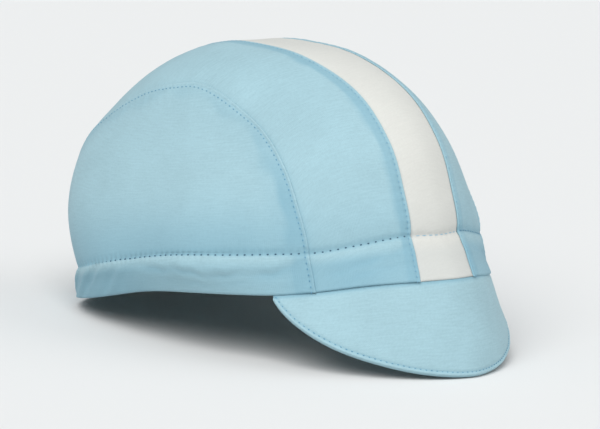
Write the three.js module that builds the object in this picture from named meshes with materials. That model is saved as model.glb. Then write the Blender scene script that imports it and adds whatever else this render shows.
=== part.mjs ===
// Three panel cap: two side panels, a strip from front to back with a white stripe down its middle,
// and a short peak that bends down. Sizes are in millimetres and degrees, +Z is up.
// In the cap's own frame the opening lies near z = 0, the front is along -Y and the wearer's left is +X.
import * as THREE from 'three';

// Cloth and gaps
const CLOTH_WALL = 1.4;
const HEM_WALL = 2.6;
const PEAK_WALL = 2.6;
const SEAM_GAP = 0.36;
const PEAK_GAP = 0.35;

// Crown: distance of the cloth from a centre above the middle of the opening, by elevation of the ray
const CENTRE_HEIGHT = 15;
const CROWN_RADII = [
  { elevation: 0, front: 74, back: 101.5, side: 82 },
  { elevation: 15, front: 77, back: 115, side: 78 },
  { elevation: 30, front: 85.3, back: 116.2, side: 77 },
  { elevation: 45, front: 92.4, back: 105.8, side: 80.7 },
  { elevation: 60, front: 94, back: 96.8, side: 91.3 },
  { elevation: 75, front: 93, back: 93.8, side: 94.6 },
  { elevation: 90, front: 93.2, back: 93.2, side: 93.2 },
];
// How far the centre moves back from the opening to the top, which puts the top behind the middle
const TOP_DRIFT = 28;
// Plan of the crown: exponents of its front and back halves, 2 being an ellipse, which the top comes to
const FRONT_SQUARENESS = 1.7;
const BACK_SQUARENESS = 3;
const TOP_SQUARENESS = 2;
// How late on the way up the plan rounds off and the hem's unevenness fades out
const ROUNDING_POWER = 2;
const LEVELLING_POWER = 2;

// Hem: its lower edge, and the heights of that edge and of the hem's stitch line round the head
const RIM_RADII = { front: 83.7, back: 110.7, side: 76.5 };
const HEM_LEVELS = [
  { turn: 0, rim: -0.8, stitch: 17.9 },
  { turn: 15, rim: -0.4, stitch: 18.6 },
  { turn: 30, rim: -0.2, stitch: 17.0 },
  { turn: 45, rim: -1.0, stitch: 15.5 },
  { turn: 60, rim: -1.0, stitch: 16.5 },
  { turn: 90, rim: 2.3, stitch: 19.1 },
  { turn: 110, rim: 3.5, stitch: 18.6 },
  { turn: 135, rim: 1.3, stitch: 15.5 },
  { turn: 150, rim: 0.9, stitch: 13.6 },
  { turn: 180, rim: 0.5, stitch: 12.5 },
];
const HEM_BULGE = 1.3;
// Below 1, this puts the fullest place of the bulge nearer to the stitch line than to the rim
const HEM_BULGE_POWER = 0.7;
// Share of the hem's height in which the wall thickens from one layer to the turned-up double
const HEM_FOLD_SHARE = 1 / 3;
// Gathers that the elastic draws into the back of the hem. They lean backwards on their way down.
const GATHER_DEPTH = 0.8;
const GATHERS_PER_TURN = 36;
const GATHER_LEAN = -500;
const GATHERS_FROM = 100;
const GATHERS_FULL = 132;

// Side seams: how far they run from the middle, by the angle round the head from front to back
const SEAM_OFFSETS = [
  { around: 0, offset: 53.8 },
  { around: 20, offset: 53.2 },
  { around: 40, offset: 51.3 },
  { around: 60, offset: 48.6 },
  { around: 80, offset: 48.3 },
  { around: 100, offset: 48.2 },
  { around: 120, offset: 46 },
  { around: 140, offset: 41.5 },
  { around: 160, offset: 36 },
  { around: 180, offset: 32 },
];
const SEAM_LEAN_IN_HEM = 1.2;
const STRIPE_HALF_WIDTH = 14.9;
const STRIPE_FLARE_IN_HEM = 1.3;

// Peak
const PEAK_LENGTH = 41;
const PEAK_HALF_SPREAD = 59.5;
const PEAK_BLUNT_END = 0.99;
const PEAK_OUTLINE_INNER_POWER = 1.9;
const PEAK_OUTLINE_OUTER_POWER = 0.74;
const PEAK_DROOP_MIDDLE = 82;
const PEAK_DROOP_SIDE = 70;
const PEAK_CURL = 2;
const PEAK_FAN = 0.83;
const PEAK_ROOT_INSET = 0.3;

// Divisions of the meshes
const STEPS_OVER_TOP = 48;
const STEPS_UP_SEAM = 10;
const STEPS_UP_HEM = 5;
const STRIP_COLUMNS = 5;
const STRIPE_COLUMNS = 4;
const PEAK_COLUMNS = 36;
const PEAK_ROWS = 6;
// Above 1, this packs the side panels' columns closer towards the gathered back
const COLUMNS_TO_BACK = 1.35;
// Small steps that find the direction out of the cloth, and turns of the loops that home in on a place
const SMALL_ANGLE = 0.5;
const SMALL_DROP = 0.03;
const SMALL_SHARE = 0.002;
const SEAM_PASSES = 14;
const PITCH_PASSES = 30;
const STEEPEST_PITCH = 30;

const SKY_BLUE = '#a9d0dc';
const OFF_WHITE = '#e3e4de';

const toRadians = THREE.MathUtils.degToRad;
const toDegrees = THREE.MathUtils.radToDeg;

// A smooth curve through one column of a table; its slope is zero at the table's ends, or only at the last
function smoothAt(rows, by, key, x, freeStart = false) {
  const last = rows.length - 1;
  const slope = (i) => {
    if (i === last || (i === 0 && !freeStart)) return 0;
    const before = rows[Math.max(i - 1, 0)];
    const after = rows[i + 1];
    return (after[key] - before[key]) / (after[by] - before[by]);
  };
  let i = 0;
  while (i < last - 1 && rows[i + 1][by] < x) i += 1;
  const width = rows[i + 1][by] - rows[i][by];
  const s = THREE.MathUtils.clamp((x - rows[i][by]) / width, 0, 1);
  const s2 = s * s;
  const s3 = s2 * s;
  return (2 * s3 - 3 * s2 + 1) * rows[i][key] + (s3 - 2 * s2 + s) * width * slope(i)
    + (3 * s2 - 2 * s3) * rows[i + 1][key] + (s3 - s2) * width * slope(i + 1);
}

// Radius of a plan outline in the direction `turn`, measured from the front towards the wearer's left.
// `rounding` is 0 where the outline is squarest and 1 where it is an ellipse.
function planRadius(turn, radii, rounding) {
  const forward = Math.cos(toRadians(turn));
  const sideways = Math.abs(Math.sin(toRadians(turn)));
  const squareness = forward > 0 ? FRONT_SQUARENESS : BACK_SQUARENESS;
  const power = THREE.MathUtils.lerp(squareness, TOP_SQUARENESS, rounding);
  const along = Math.abs(forward) / (forward > 0 ? radii.front : radii.back);
  return (along ** power + (sideways / radii.side) ** power) ** (-1 / power);
}

// The crown's radius as it counts level, in plan, and as it counts upwards
function crownRadii(turn, elevation) {
  const at = (key) => smoothAt(CROWN_RADII, 'elevation', key, elevation, true);
  const radii = { front: at('front'), back: at('back'), side: at('side') };
  return {
    level: planRadius(turn, radii, (elevation / 90) ** ROUNDING_POWER),
    upright: planRadius(turn, radii, 1),
  };
}

function hemLevel(turn, key) {
  const folded = Math.abs(((turn + 180) % 360 + 360) % 360 - 180);
  return smoothAt(HEM_LEVELS, 'turn', key, folded);
}

function pointAt(turn, radius, height) {
  return new THREE.Vector3(radius * Math.sin(toRadians(turn)), -radius * Math.cos(toRadians(turn)), height);
}

// Outside of the cloth. `level` runs from -1 at the rim to 0 at the hem's stitch line,
// and above that it is the elevation of the ray in degrees, up to 90 at the top.
function clothPoint(turn, level) {
  if (level >= 0) {
    const radii = crownRadii(turn, level);
    const up = Math.sin(toRadians(level));
    const rise = (hemLevel(turn, 'stitch') - CENTRE_HEIGHT) * (1 - level / 90) ** LEVELLING_POWER;
    const height = CENTRE_HEIGHT + radii.upright * up + rise;
    const point = pointAt(turn, radii.level * Math.cos(toRadians(level)), height);
    point.y += TOP_DRIFT * up * up;
    return point;
  }
  const drop = -level;
  const rim = planRadius(turn, RIM_RADII, 0);
  const gathered = THREE.MathUtils.smoothstep(Math.abs(turn), GATHERS_FROM, GATHERS_FULL);
  const wave = Math.cos(toRadians(GATHERS_PER_TURN * Math.abs(turn) + GATHER_LEAN * drop));
  const puff = (HEM_BULGE + gathered * GATHER_DEPTH * wave) * Math.sin(Math.PI * drop ** HEM_BULGE_POWER);
  const radius = THREE.MathUtils.lerp(crownRadii(turn, 0).level, rim, drop) + puff;
  const height = THREE.MathUtils.lerp(hemLevel(turn, 'stitch'), hemLevel(turn, 'rim'), drop);
  return pointAt(turn, radius, height);
}

// Direction out of the cloth; at the rim it is level, so that the hem's lower face is flat across
function clothNormal(turn, level) {
  const up = level < 0 ? SMALL_DROP : SMALL_ANGLE;
  const down = level > 0 ? SMALL_ANGLE : SMALL_DROP;
  const along = clothPoint(turn + SMALL_ANGLE, level).sub(clothPoint(turn - SMALL_ANGLE, level));
  const rising = clothPoint(turn, Math.min(level + up, 90)).sub(clothPoint(turn, Math.max(level - down, -1)));
  const normal = along.cross(rising);
  if (level < 0) normal.z *= 1 + level;
  return normal.normalize();
}

function wallAt(level) {
  const folded = THREE.MathUtils.clamp(-level / HEM_FOLD_SHARE, 0, 1);
  return THREE.MathUtils.lerp(CLOTH_WALL, HEM_WALL, folded);
}

// Where the cloth stands `offset` sideways from the middle, `around` degrees over the head from the front
function overHead(around, offset) {
  const c = Math.cos(toRadians(around));
  const s = Math.sin(toRadians(around));
  let radii = { level: CROWN_RADII[0].front, upright: CROWN_RADII[0].front };
  let turn = 0;
  let level = 0;
  for (let pass = 0; pass < SEAM_PASSES; pass += 1) {
    const narrowing = 1 - (offset / radii.level) ** 2;
    const reach = Math.sqrt(narrowing / ((c / radii.level) ** 2 + (s / radii.upright) ** 2));
    const out = Math.hypot(reach * c, offset);
    turn = toDegrees(Math.atan2(offset, reach * c));
    level = toDegrees(Math.atan2((reach * s) / radii.upright, out / radii.level));
    radii = crownRadii(turn, level);
  }
  return { turn, level };
}

function seamOffset(around) {
  return smoothAt(SEAM_OFFSETS, 'around', 'offset', around);
}

// Closes two matching grids of points, an outer and an inner one, into one solid
function closedSheet(outer, inner) {
  const rows = outer.length;
  const columns = outer[0].length;
  const points = [...outer.flat(), ...inner.flat()];
  const index = (layer, i, j) => (layer * rows + i) * columns + j;
  const triangles = [];
  const quad = (a, b, c, d) => triangles.push([a, b, c], [a, c, d]);
  for (let i = 0; i + 1 < rows; i += 1) {
    for (let j = 0; j + 1 < columns; j += 1) {
      quad(index(0, i, j), index(0, i, j + 1), index(0, i + 1, j + 1), index(0, i + 1, j));
      quad(index(1, i, j), index(1, i + 1, j), index(1, i + 1, j + 1), index(1, i, j + 1));
    }
  }
  for (let j = 0; j + 1 < columns; j += 1) {
    quad(index(0, 0, j), index(1, 0, j), index(1, 0, j + 1), index(0, 0, j + 1));
    quad(index(0, rows - 1, j), index(0, rows - 1, j + 1), index(1, rows - 1, j + 1), index(1, rows - 1, j));
  }
  for (let i = 0; i + 1 < rows; i += 1) {
    quad(index(0, i, 0), index(0, i + 1, 0), index(1, i + 1, 0), index(1, i, 0));
    quad(index(0, i, columns - 1), index(1, i, columns - 1), index(1, i + 1, columns - 1),
      index(0, i + 1, columns - 1));
  }
  const volume = triangles.reduce((sum, [a, b, c]) => (
    sum + points[a].dot(new THREE.Vector3().crossVectors(points[b], points[c]))), 0);
  if (volume < 0) triangles.forEach((triangle) => triangle.reverse());
  const geometry = new THREE.BufferGeometry().setFromPoints(points);
  geometry.setIndex(triangles.flat());
  geometry.computeVertexNormals();
  return geometry;
}

// A panel of cloth from a grid of places on the crown
function clothPanel(grid) {
  const outer = grid.map((row) => row.map(({ turn, level }) => clothPoint(turn, level)));
  const inner = grid.map((row, i) => row.map(({ turn, level }, j) => (
    outer[i][j].clone().addScaledVector(clothNormal(turn, level), -wallAt(level)))));
  return closedSheet(outer, inner);
}

// Places down the hem from the stitch line, nearest the stitch line first
function downHem(start, lean) {
  return Array.from({ length: STEPS_UP_HEM }, (_, i) => {
    const drop = (i + 1) / STEPS_UP_HEM;
    return { turn: start.turn + lean * drop, level: -drop };
  });
}

// A strip from the front rim over the head to the back rim, between two edges given as offset(around)
function strip(columns, leftEdge, rightEdge, leanOf) {
  const lines = Array.from({ length: columns + 1 }, (_, j) => {
    const offset = (around) => THREE.MathUtils.lerp(leftEdge(around), rightEdge(around), j / columns);
    const top = Array.from({ length: STEPS_OVER_TOP + 1 }, (__, i) => {
      const around = (180 * i) / STEPS_OVER_TOP;
      return overHead(around, offset(around));
    });
    const lean = leanOf(j / columns);
    const front = downHem(top[0], lean).reverse();
    const back = downHem(top[STEPS_OVER_TOP], -lean);
    return [...front, ...top, ...back];
  });
  return clothPanel(lines);
}

function crownStrip(side) {
  const stripeEdge = () => side * (STRIPE_HALF_WIDTH + SEAM_GAP / 2);
  const seamEdge = (around) => side * (seamOffset(around) - SEAM_GAP / 2);
  const leanOf = (across) => (
    side * THREE.MathUtils.lerp(STRIPE_FLARE_IN_HEM, -SEAM_LEAN_IN_HEM, across));
  return strip(STRIP_COLUMNS, stripeEdge, seamEdge, leanOf);
}

function centreStripe() {
  const edge = STRIPE_HALF_WIDTH - SEAM_GAP / 2;
  const leanOf = (across) => THREE.MathUtils.lerp(-STRIPE_FLARE_IN_HEM, STRIPE_FLARE_IN_HEM, across);
  return strip(STRIPE_COLUMNS, () => -edge, () => edge, leanOf);
}

// A side panel: its crown part fills the space between the stitch line and the arch of the seam
function sidePanel(side) {
  const seam = Array.from({ length: STEPS_OVER_TOP + 1 }, (_, i) => {
    const around = (180 * i) / STEPS_OVER_TOP;
    return overHead(around, seamOffset(around) + SEAM_GAP / 2);
  });
  const columns = STEPS_OVER_TOP - 2 * STEPS_UP_SEAM;
  const front = seam.slice(0, STEPS_UP_SEAM + 1);
  const top = seam.slice(STEPS_UP_SEAM, STEPS_UP_SEAM + columns + 1);
  const back = seam.slice(STEPS_UP_SEAM + columns).reverse();
  const foot = (j) => {
    const share = 1 - (1 - j / columns) ** COLUMNS_TO_BACK;
    return { turn: THREE.MathUtils.lerp(front[0].turn, back[0].turn, share), level: 0 };
  };
  const blend = (key, i, j) => {
    const up = i / STEPS_UP_SEAM;
    const across = j / columns;
    const between = (a, b, s) => THREE.MathUtils.lerp(a, b, s);
    const sides = between(front[i][key], back[i][key], across);
    const ends = between(foot(j)[key], top[j][key], up);
    const corners = between(
      between(front[0][key], back[0][key], across),
      between(top[0][key], top[columns][key], across), up);
    return sides + ends - corners;
  };
  const hem = Array.from({ length: STEPS_UP_HEM }, (_, i) => {
    const drop = 1 - i / STEPS_UP_HEM;
    const lean = SEAM_LEAN_IN_HEM * drop;
    return Array.from({ length: columns + 1 }, (__, j) => (
      { turn: foot(j).turn - lean * (1 - (2 * j) / columns), level: -drop }));
  });
  const crown = Array.from({ length: STEPS_UP_SEAM + 1 }, (_, i) => (
    Array.from({ length: columns + 1 }, (__, j) => (
      { turn: blend('turn', i, j), level: blend('level', i, j) }))));
  const grid = [...hem, ...crown].map((row) => row.map(({ turn, level }) => ({ turn: side * turn, level })));
  return clothPanel(grid);
}

// The upper face of the peak, from its root under the hem (0) to its edge (1)
function peakPoint(across, out) {
  const turn = PEAK_HALF_SPREAD * across;
  const rim = planRadius(turn, RIM_RADII, 0);
  const root = pointAt(turn, rim - PEAK_ROOT_INSET, hemLevel(turn, 'rim') - PEAK_GAP);
  const taper = (1 - Math.abs(across) ** PEAK_OUTLINE_INNER_POWER) ** PEAK_OUTLINE_OUTER_POWER;
  const length = PEAK_LENGTH * taper * out;
  const droop = THREE.MathUtils.lerp(PEAK_DROOP_MIDDLE, PEAK_DROOP_SIDE, across * across);
  const slope = toRadians(droop - PEAK_CURL * (1 - out));
  const ahead = pointAt(PEAK_FAN * turn, Math.cos(slope), -Math.sin(slope));
  return root.addScaledVector(ahead, length);
}

function peak() {
  const outer = [];
  const inner = [];
  for (let i = 0; i <= PEAK_ROWS; i += 1) {
    const out = i / PEAK_ROWS;
    const upper = [];
    const lower = [];
    for (let j = 0; j <= PEAK_COLUMNS; j += 1) {
      const across = PEAK_BLUNT_END * (-1 + (2 * j) / PEAK_COLUMNS);
      const point = peakPoint(across, out);
      const sideways = peakPoint(across + SMALL_SHARE, out).sub(peakPoint(across - SMALL_SHARE, out));
      const inwards = peakPoint(across, out + SMALL_SHARE).sub(peakPoint(across, out - SMALL_SHARE));
      const normal = inwards.cross(sideways).normalize();
      upper.push(point);
      lower.push(point.clone().addScaledVector(normal, -PEAK_WALL));
    }
    outer.push(upper);
    inner.push(lower);
  }
  return closedSheet(outer, inner);
}

function piece(name, geometry, colour) {
  const material = new THREE.MeshStandardMaterial({ color: colour, roughness: 0.9, metalness: 0 });
  const mesh = new THREE.Mesh(geometry, material);
  mesh.name = name;
  return mesh;
}

const cap = new THREE.Group();
cap.add(
  piece('side_panel_right', sidePanel(-1), SKY_BLUE),
  piece('side_panel_left', sidePanel(1), SKY_BLUE),
  piece('crown_strip_right', crownStrip(-1), SKY_BLUE),
  piece('crown_strip_left', crownStrip(1), SKY_BLUE),
  piece('centre_stripe', centreStripe(), OFF_WHITE),
  piece('peak', peak(), SKY_BLUE),
);

// How low one piece reaches once the cap is tipped nose up by `pitch`
function lowestPoint(name, pitch) {
  const mesh = cap.getObjectByName(name);
  const tipped = mesh.geometry.clone().rotateX(-toRadians(pitch));
  tipped.computeBoundingBox();
  return tipped.boundingBox.min.z;
}

// At rest the cap leans back until the peak's edge and the back of the rim are level
function restPitch() {
  let low = 0;
  let high = STEEPEST_PITCH;
  for (let pass = 0; pass < PITCH_PASSES; pass += 1) {
    const middle = (low + high) / 2;
    if (lowestPoint('peak', middle) < lowestPoint('centre_stripe', middle)) low = middle;
    else high = middle;
  }
  return low;
}

cap.rotation.x = -toRadians(restPitch());
cap.updateMatrixWorld(true);
const box = new THREE.Box3().setFromObject(cap, true);
const middle = box.getCenter(new THREE.Vector3());
cap.position.set(-middle.x, -middle.y, -box.min.z);

const model = new THREE.Group();
model.add(cap);

export default model;
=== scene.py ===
"""Three panel cap: two blue side panels, a strip over the head with a white stripe, and a short peak.

The crown's surface follows the same tables as the part's solids. The cloth panels lie on it, with lapped
seams, a turned-up hem, stitches and folds.
"""
import math
from functools import partial

import bmesh
import bpy
import numpy as np
from mathutils import Matrix, Vector


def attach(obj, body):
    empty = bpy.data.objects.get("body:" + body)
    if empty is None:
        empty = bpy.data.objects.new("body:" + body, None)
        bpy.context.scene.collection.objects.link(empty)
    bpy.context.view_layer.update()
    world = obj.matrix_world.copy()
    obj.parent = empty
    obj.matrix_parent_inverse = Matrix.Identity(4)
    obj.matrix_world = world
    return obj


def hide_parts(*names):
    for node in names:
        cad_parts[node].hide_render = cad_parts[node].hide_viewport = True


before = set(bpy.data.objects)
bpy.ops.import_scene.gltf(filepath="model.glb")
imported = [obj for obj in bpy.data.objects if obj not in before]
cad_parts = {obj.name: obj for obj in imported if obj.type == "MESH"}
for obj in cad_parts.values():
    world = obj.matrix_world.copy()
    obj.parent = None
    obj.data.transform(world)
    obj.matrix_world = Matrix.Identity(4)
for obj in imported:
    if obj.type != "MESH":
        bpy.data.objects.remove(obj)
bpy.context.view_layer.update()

bl_info = {
    "name": "Three Panel Cap",
    "version": (1, 0, 0),
    "blender": (4, 5, 0),
    "location": "View3D > Sidebar > Cap",
    "description": "Makes a soft three panel cap with a striped crown and a short peak",
    "category": "Add Mesh",
}

MM = 0.001
RIGHT, LEFT = -1, 1

# The cap's own frame: the opening lies near z = 0, the front is -Y, sizes are in millimetres and degrees.
# At rest the cap is tipped nose up by this much and moved to stand on the floor.
REST_PITCH = 12.167
REST_PLACE = (0.0, -13.082, 22.843)

# The crown: distance from a centre above the opening, by elevation of the ray
CENTRE_HEIGHT = 15.0
CROWN_ELEVATIONS = (0, 15, 30, 45, 60, 75, 90)
CROWN_FRONT = (74, 77, 85.3, 92.4, 94, 93, 93.2)
CROWN_BACK = (101.5, 115, 116.2, 105.8, 96.8, 93.8, 93.2)
CROWN_SIDE = (82, 78, 77, 80.7, 91.3, 94.6, 93.2)
TOP_DRIFT = 28.0
FRONT_SQUARENESS = 1.7
BACK_SQUARENESS = 3.0
TOP_SQUARENESS = 2.0

# The hem: its lower edge and its stitch line
RIM_FRONT, RIM_BACK, RIM_SIDE = 83.7, 110.7, 76.5
HEM_TURNS = (0, 15, 30, 45, 60, 90, 110, 135, 150, 180)
HEM_RIM = (-0.8, -0.4, -0.2, -1.0, -1.0, 2.3, 3.5, 1.3, 0.9, 0.5)
HEM_STITCH = (17.9, 18.6, 17.0, 15.5, 16.5, 19.1, 18.6, 15.5, 13.6, 12.5)
# The hem hangs a little lower at the wearer's left of the front
LEFT_DROOP = 1.6
HEM_BULGE = 1.3
HEM_BULGE_POWER = 0.7
GATHER_DEPTH = 0.65
GATHERS_PER_TURN = 36.0
GATHER_LEAN = -500.0
GATHERS_FROM, GATHERS_FULL = 100.0, 132.0

# Seams
SEAM_AROUND = (0, 20, 40, 60, 80, 100, 120, 140, 160, 180)
SEAM_OFFSETS = (53.8, 53.2, 51.3, 48.6, 48.3, 48.2, 46, 41.5, 36, 32)
SEAM_LEAN_IN_HEM = 1.2
STRIPE_HALF_WIDTH = 14.9
STRIPE_FLARE_IN_HEM = -1.2
# In the front hem the stripe slants a little to the wearer's right, in degrees of turn
STRIPE_SLANT_IN_HEM = 3.0

# Peak
PEAK_LENGTH = 41.0
PEAK_HALF_SPREAD = 60.6
PEAK_BLUNT_END = 0.99
PEAK_OUTLINE_INNER_POWER = 1.9
PEAK_OUTLINE_OUTER_POWER = 0.74
PEAK_DROOP_MIDDLE = 82.0
PEAK_DROOP_SIDE = 70.0
PEAK_CURL = 2.0
PEAK_FAN = 0.83
PEAK_ROOT_INSET = 0.3
PEAK_GAP = 0.35
PEAK_WALL = 2.6


# Curves and the crown's surface, on arrays of places

def lerp(a, b, s):
    return a + (b - a) * s


def smoothstep(x, low, high):
    s = np.clip((x - low) / (high - low), 0.0, 1.0)
    return s * s * (3 - 2 * s)


def bell(x, width):
    return np.exp(-(x / width) ** 2)


def smooth_at(knots, values, x, free_start=False):
    """A smooth curve through a table, level at its ends or only at the last one."""
    knots = np.asarray(knots, float)
    values = np.asarray(values, float)
    slopes = np.zeros(len(knots))
    slopes[1:-1] = (values[2:] - values[:-2]) / (knots[2:] - knots[:-2])
    if free_start:
        slopes[0] = (values[1] - values[0]) / (knots[1] - knots[0])
    x = np.asarray(x, float)
    i = np.clip(np.searchsorted(knots, x, side="right") - 1, 0, len(knots) - 2)
    width = knots[i + 1] - knots[i]
    s = np.clip((x - knots[i]) / width, 0.0, 1.0)
    s2, s3 = s * s, s * s * s
    return ((2 * s3 - 3 * s2 + 1) * values[i] + (s3 - 2 * s2 + s) * width * slopes[i]
            + (3 * s2 - 2 * s3) * values[i + 1] + (s3 - s2) * width * slopes[i + 1])


def plan_radius(turn, front, back, side, rounding):
    forward = np.cos(np.radians(turn))
    sideways = np.abs(np.sin(np.radians(turn)))
    squareness = np.where(forward > 0, FRONT_SQUARENESS, BACK_SQUARENESS)
    power = lerp(squareness, TOP_SQUARENESS, rounding)
    along = np.abs(forward) / np.where(forward > 0, front, back)
    return (along ** power + (sideways / side) ** power) ** (-1 / power)


def crown_radii(turn, elevation):
    """The crown's radius as it counts level, in plan, and as it counts upwards."""
    front = smooth_at(CROWN_ELEVATIONS, CROWN_FRONT, elevation, True)
    back = smooth_at(CROWN_ELEVATIONS, CROWN_BACK, elevation, True)
    side = smooth_at(CROWN_ELEVATIONS, CROWN_SIDE, elevation, True)
    rounding = (elevation / 90) ** 2
    return plan_radius(turn, front, back, side, rounding), plan_radius(turn, front, back, side, 1.0)


def from_front(turn):
    """Degrees away from the front on either side."""
    return np.abs((turn + 180) % 360 - 180)


def hem_level(turn, values):
    return smooth_at(HEM_TURNS, values, from_front(turn))


def point_at(turn, radius, height):
    turn = np.radians(turn)
    return np.stack([radius * np.sin(turn), -radius * np.cos(turn), height + 0 * turn], -1)


def cloth_point(turn, level):
    """Outside of the cloth. level is -1 at the rim, 0 at the stitch line, then the elevation in degrees."""
    turn = np.asarray(turn, float)
    level = np.asarray(level, float)
    crown_level = np.maximum(level, 0.0)
    flat, upright = crown_radii(turn, crown_level)
    up = np.sin(np.radians(crown_level))
    rise = (hem_level(turn, HEM_STITCH) - CENTRE_HEIGHT) * (1 - crown_level / 90) ** 2
    crown = point_at(turn, flat * np.cos(np.radians(crown_level)), CENTRE_HEIGHT + upright * up + rise)
    crown[..., 1] += TOP_DRIFT * up * up
    drop = np.clip(-level, 0.0, None)
    rim = plan_radius(turn, RIM_FRONT, RIM_BACK, RIM_SIDE, 0.0)
    gathered = smoothstep(np.abs(turn), GATHERS_FROM, GATHERS_FULL)
    wave = np.cos(np.radians(GATHERS_PER_TURN * np.abs(turn) + GATHER_LEAN * drop))
    puff = HEM_BULGE + gathered * GATHER_DEPTH * wave
    puff = puff * np.sin(np.pi * np.clip(drop, 0, 1) ** HEM_BULGE_POWER)
    droop = LEFT_DROOP * smoothstep(turn, 4, 26) * (1 - smoothstep(turn, 60, 90)) * drop
    hem = point_at(turn, lerp(flat, rim, drop) + puff + 0.3 * droop * drop,
                   lerp(hem_level(turn, HEM_STITCH), hem_level(turn, HEM_RIM), drop) - droop)
    return np.where((level < 0)[..., None], hem, crown)


def unit(v):
    return v / np.maximum(np.linalg.norm(v, axis=-1, keepdims=True), 1e-9)


def cloth_normal(turn, level):
    """Direction out of the cloth, smoothed a little over the kink at the stitch line."""
    level = np.asarray(level, float)
    step_turn = 0.4
    up = np.where(level < 0, 0.03, 0.6)
    down = np.where(level > 0, 0.6, 0.03)
    along = cloth_point(turn + step_turn, level) - cloth_point(turn - step_turn, level)
    rising = (cloth_point(turn, np.minimum(level + up, 90.0))
              - cloth_point(turn, np.maximum(level - down, -1.0)))
    return unit(np.cross(along, rising))


def over_head(around, offset):
    """The place on the crown that is offset sideways, around degrees over the head from the front."""
    around = np.asarray(around, float)
    offset = offset + 0 * around
    c, s = np.cos(np.radians(around)), np.sin(np.radians(around))
    flat = upright = np.full_like(around, CROWN_FRONT[0])
    for _ in range(16):
        reach = np.sqrt((1 - (offset / flat) ** 2) / ((c / flat) ** 2 + (s / upright) ** 2))
        turn = np.degrees(np.arctan2(offset, reach * c))
        level = np.degrees(np.arctan2(reach * s / upright, np.hypot(reach * c, offset) / flat))
        flat, upright = crown_radii(turn, level)
    return turn, np.clip(level, 0.0, 90.0)


def seam_offset(around):
    return smooth_at(SEAM_AROUND, SEAM_OFFSETS, around)


# Value noise without tables: sums of sines with seeded directions

def waves(points, size, seed, count=10):
    """Smooth noise of about -1 to 1 whose features are `size` mm across, from seeded waves."""
    rng = np.random.default_rng(seed)
    total = np.zeros(points.shape[:-1])
    for _ in range(count):
        direction = unit(rng.normal(size=3))
        length = size * rng.uniform(1.3, 2.8)
        total += np.sin(points @ direction * (2 * np.pi / length) + rng.uniform(0, 2 * np.pi))
    return total / math.sqrt(count)


def cumulative(points, axis):
    """How far along it each place of a line or a grid lies."""
    step = np.linalg.norm(np.diff(points, axis=axis), axis=-1)
    start = np.zeros_like(np.take(step, [0], axis=axis))
    return np.concatenate([start, np.cumsum(step, axis=axis)], axis=axis)


def distance_to(points, line):
    """Distance of each point to a polyline, and how far along it the nearest place is."""
    flat = points.reshape(-1, 3)
    start, step = line[:-1], np.diff(line, axis=0)
    length = np.linalg.norm(step, axis=1)
    travelled = cumulative(line, 0)
    best, where = np.zeros((2, len(flat)))
    chunk = 2000
    for k in range(0, len(flat), chunk):
        p = flat[k:k + chunk, None, :]
        t = np.clip(np.sum((p - start) * step, -1) / np.maximum(length ** 2, 1e-12), 0, 1)
        d = np.linalg.norm(p - start - step * t[..., None], axis=-1)
        j = np.argmin(d, axis=1)
        rows = np.arange(len(j))
        best[k:k + chunk] = d[rows, j]
        where[k:k + chunk] = travelled[j] + t[rows, j] * length[j]
    return best.reshape(points.shape[:-1]), where.reshape(points.shape[:-1])


def to_row_frame(points):
    """From the cap's own frame in mm to the row frame in metres."""
    tilt = math.radians(-REST_PITCH)
    c, s = math.cos(tilt), math.sin(tilt)
    x, y, z = points[..., 0], points[..., 1], points[..., 2]
    turned = np.stack([x, c * y - s * z, s * y + c * z], -1)
    return (turned + np.array(REST_PLACE)) * MM


def turn_to_row_frame(directions):
    return (to_row_frame(directions) - to_row_frame(np.zeros(3))) / MM


# Lines on the cap that reliefs and stitches follow

HEM_LINE_TURNS = np.linspace(-180, 180, 1081)
HEM_LINE = cloth_point(HEM_LINE_TURNS, 0 * HEM_LINE_TURNS)
HEM_LINE_LENGTHS = cumulative(HEM_LINE, 0)


def slant(turn):
    """How far the front hem's cloth slants to the wearer's right from the stitch line to the rim."""
    return -STRIPE_SLANT_IN_HEM * (1 - smoothstep(np.abs(turn), 13, 34))


def with_hem(turn, level, front_lean, back_lean, drops):
    """Carries places over the head on down the hem at the front and at the back."""
    front, back = turn[..., :1], turn[..., -1:]
    front = front + (front_lean + slant(front)) * drops
    back = back - back_lean * drops
    hem = np.broadcast_to(-drops, front.shape)
    return (np.concatenate([front[..., ::-1], turn, back], -1),
            np.concatenate([hem[..., ::-1], level, hem], -1))


def seam_path(side, offset_of, lean, fine=0.5):
    """A line from the front rim over the head to the back rim, as places."""
    around = np.arange(0, 180 + fine / 2, fine)
    turn, level = over_head(around, side * offset_of(around))
    return with_hem(turn, level, side * lean, side * lean, np.linspace(0.04, 1.0, 25))


def stripe_edge(around):
    return STRIPE_HALF_WIDTH + 0 * around


# Relief, in millimetres out of the cloth, added to the plain surface

HEM_PITCH = HEM_LINE_LENGTHS[-1] / round(HEM_LINE_LENGTHS[-1] / 3.3)
SEAM_PITCH = 2.5
# The hem's stitches pull a narrow groove, and the cloth above them turns in over a wider stretch
GROOVE_DEPTH = 0.55
TUCK_DEPTH = 0.5
# The crown also draws in over a wide stretch above its stitch line
DRAW_IN_DEPTH = 1.3
DRAW_IN_ABOVE, DRAW_IN_BELOW = 13.0, 5.0
# How much of the tuck shows, by turn from the front
TUCK_TURNS = (0, 30, 55, 75, 105, 122, 140, 180)
TUCK_SHARES = (0.22, 0.35, 0.8, 1.0, 0.9, 0.35, 0.2, 0.2)
# The front hem lies flatter than the plain surface by this much
FRONT_FLATTENING = 1.2
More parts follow.
